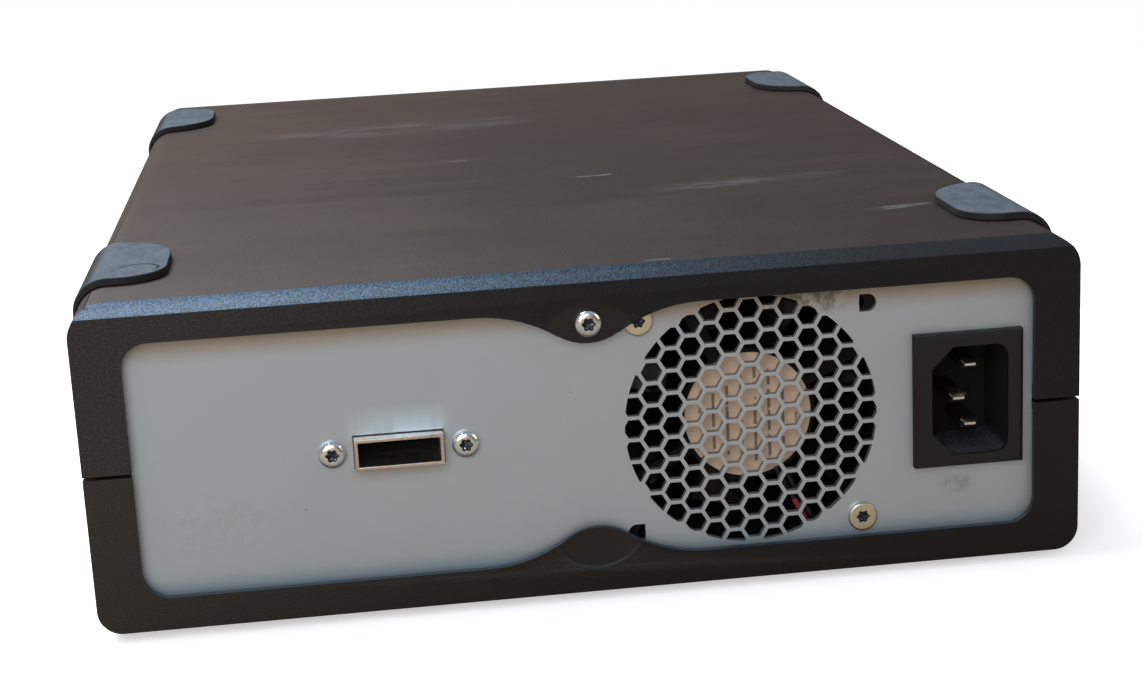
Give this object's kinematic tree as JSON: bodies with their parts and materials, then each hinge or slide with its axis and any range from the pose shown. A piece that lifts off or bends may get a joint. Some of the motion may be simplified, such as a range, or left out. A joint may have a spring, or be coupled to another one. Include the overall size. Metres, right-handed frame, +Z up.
{
  "type": "desktop data tape drive",
  "caption": "Desktop tape drive: two-part case with corner pads, rear steel panel with fan grille, mains inlet and data port, and a front-loading cartridge drive inside.",
  "frame": {"origin": "middle of the footprint, on the surface that the foot pads stand on", "axes": "+Z up; the cartridge front faces -Y and the rear with the fan, inlet and port faces +Y"},
  "size_m": [0.2246, 0.3066, 0.078],
  "materials": {
    "shell_plastic": "fine textured charcoal ABS",
    "pad_rubber": "dusty grey rubber",
    "panel_paint": "matte light grey coated steel",
    "chassis_steel": "zinc-coated sheet steel",
    "screw_steel": "bright zinc",
    "wafer_steel": "yellowish zinc",
    "fan_plastic": "black PBT",
    "label_paper": "plain beige label",
    "lead_pvc": "PVC insulated wire",
    "inlet_plastic": "moulded thermoplastic",
    "pin_metal": "plated brass",
    "port_shell": "nickel-plated shell",
    "port_core": "black insulator",
    "board_green": "solder-masked board",
    "cable_jacket": "PVC cable jacket",
    "ferrite": "ferrite core and taped winding",
    "can_sleeve": "sleeved cans",
    "sink_aluminium": "bare aluminium",
    "button_plastic": "smooth dark plastic",
    "light_guide": "clear light guide",
    "drive_sheet": "thin steel sheet",
    "drive_front": "moulded front",
    "motor_steel": "pressed motor case",
    "hub_plastic": "moulded acetal",
    "roller_metal": "turned aluminium",
    "head_metal": "head block and rods",
    "plug_plastic": "connector housing"
  },
  "bodies": {
    "case": {"upper_shell": "shell_plastic", "lower_shell": "shell_plastic", "front_bezel": "shell_plastic", "top_pad_rear_left": "pad_rubber", "top_pad_rear_right": "pad_rubber", "top_pad_front_left": "pad_rubber", "top_pad_front_right": "pad_rubber", "foot_pad_rear_left": "pad_rubber", "foot_pad_rear_right": "pad_rubber", "foot_pad_front_left": "pad_rubber", "foot_pad_front_right": "pad_rubber", "rear_panel": "panel_paint", "chassis_tray": "chassis_steel", "drive_bracket_left": "chassis_steel", "drive_bracket_right": "chassis_steel", "shell_screw": "screw_steel", "port_screws": "screw_steel", "tray_screws": "screw_steel", "drive_screws": "screw_steel", "fan_screws": "wafer_steel", "fan_frame": "fan_plastic", "fan_label": "label_paper", "fan_leads": "lead_pvc", "inlet_leads": "lead_pvc", "inlet_body": "inlet_plastic", "inlet_pins": "pin_metal", "port_cage": "port_shell", "port_insert": "port_core", "port_board": "board_green", "main_board": "board_green", "supply_board": "board_green", "power_switch": "board_green", "data_cable": "cable_jacket", "supply_cable": "cable_jacket", "supply_transformer": "ferrite", "supply_capacitors": "can_sleeve", "supply_heat_sink": "sink_aluminium", "drive_base": "sink_aluminium", "power_light": "light_guide", "drive_cover": "drive_sheet", "drive_bezel": "drive_front", "reel_motors": "motor_steel", "head_rods": "head_metal", "threader_rail": "head_metal", "drive_plugs": "plug_plastic"},
    "fan_rotor": {"fan_rotor": "fan_plastic"},
    "power_button": {"power_button": "button_plastic"},
    "eject_button": {"eject_button": "button_plastic"},
    "cartridge_door": {"cartridge_door": "drive_front"},
    "loader": {"loader_slide": "drive_sheet"},
    "cartridge_cage": {"cartridge_cage": "drive_sheet"},
    "supply_hub": {"supply_hub": "hub_plastic"},
    "takeup_reel": {"takeup_reel": "hub_plastic"},
    "roller_1": {"guide_roller_1": "roller_metal"},
    "roller_2": {"guide_roller_2": "roller_metal"},
    "roller_3": {"guide_roller_3": "roller_metal"},
    "roller_4": {"guide_roller_4": "roller_metal"},
    "tape_head": {"tape_head": "head_metal"},
    "threader": {"threader": "hub_plastic"}
  },
  "joints": [
    {"name": "fan_spin", "type": "hinge", "parent": "case", "child": "fan_rotor", "pos_m": [-0.0363, 0.1325, 0.0385], "axis": [0, 1, 0], "continuous": true},
    {"name": "power_press", "type": "slide", "parent": "case", "child": "power_button", "axis": [0, 1, 0], "range_m": [0, 0.002], "stiffness_N_per_m": 400},
    {"name": "eject_press", "type": "slide", "parent": "case", "child": "eject_button", "axis": [0, 1, 0], "range_m": [0, 0.0015], "stiffness_N_per_m": 400},
    {"name": "door_swing", "type": "hinge", "parent": "case", "child": "cartridge_door", "pos_m": [0.033, -0.149, 0.0494], "axis": [1, 0, 0], "range_deg": [0, 85], "stiffness_Nm_per_rad": 0.004},
    {"name": "loader_travel", "type": "slide", "parent": "case", "child": "loader", "axis": [0, 1, 0], "range_m": [0, 0.016]},
    {"name": "cage_drop", "type": "slide", "parent": "loader", "child": "cartridge_cage", "axis": [0, 0, -1], "range_m": [0, 0.0025]},
    {"name": "supply_spin", "type": "hinge", "parent": "case", "child": "supply_hub", "pos_m": [0.033, -0.0717, 0.024], "axis": [0, 0, 1], "continuous": true},
    {"name": "takeup_spin", "type": "hinge", "parent": "case", "child": "takeup_reel", "pos_m": [0.031, 0.017, 0.03], "axis": [0, 0, 1], "continuous": true},
    {"name": "roller_1_spin", "type": "hinge", "parent": "case", "child": "roller_1", "pos_m": [0.095, -0.009, 0.03], "axis": [0, 0, 1], "continuous": true},
    {"name": "roller_2_spin", "type": "hinge", "parent": "case", "child": "roller_2", "pos_m": [0.089, 0.006, 0.03], "axis": [0, 0, 1], "continuous": true},
    {"name": "roller_3_spin", "type": "hinge", "parent": "case", "child": "roller_3", "pos_m": [0.089, 0.034, 0.03], "axis": [0, 0, 1], "continuous": true},
    {"name": "roller_4_spin", "type": "hinge", "parent": "case", "child": "roller_4", "pos_m": [0.0755, 0.0415, 0.03], "axis": [0, 0, 1], "continuous": true},
    {"name": "head_step", "type": "slide", "parent": "case", "child": "tape_head", "axis": [0, 0, 1], "range_m": [-0.003, 0.003]},
    {"name": "thread_travel", "type": "slide", "parent": "case", "child": "threader", "axis": [0, 1, 0], "range_m": [0, 0.054]}
  ]
}
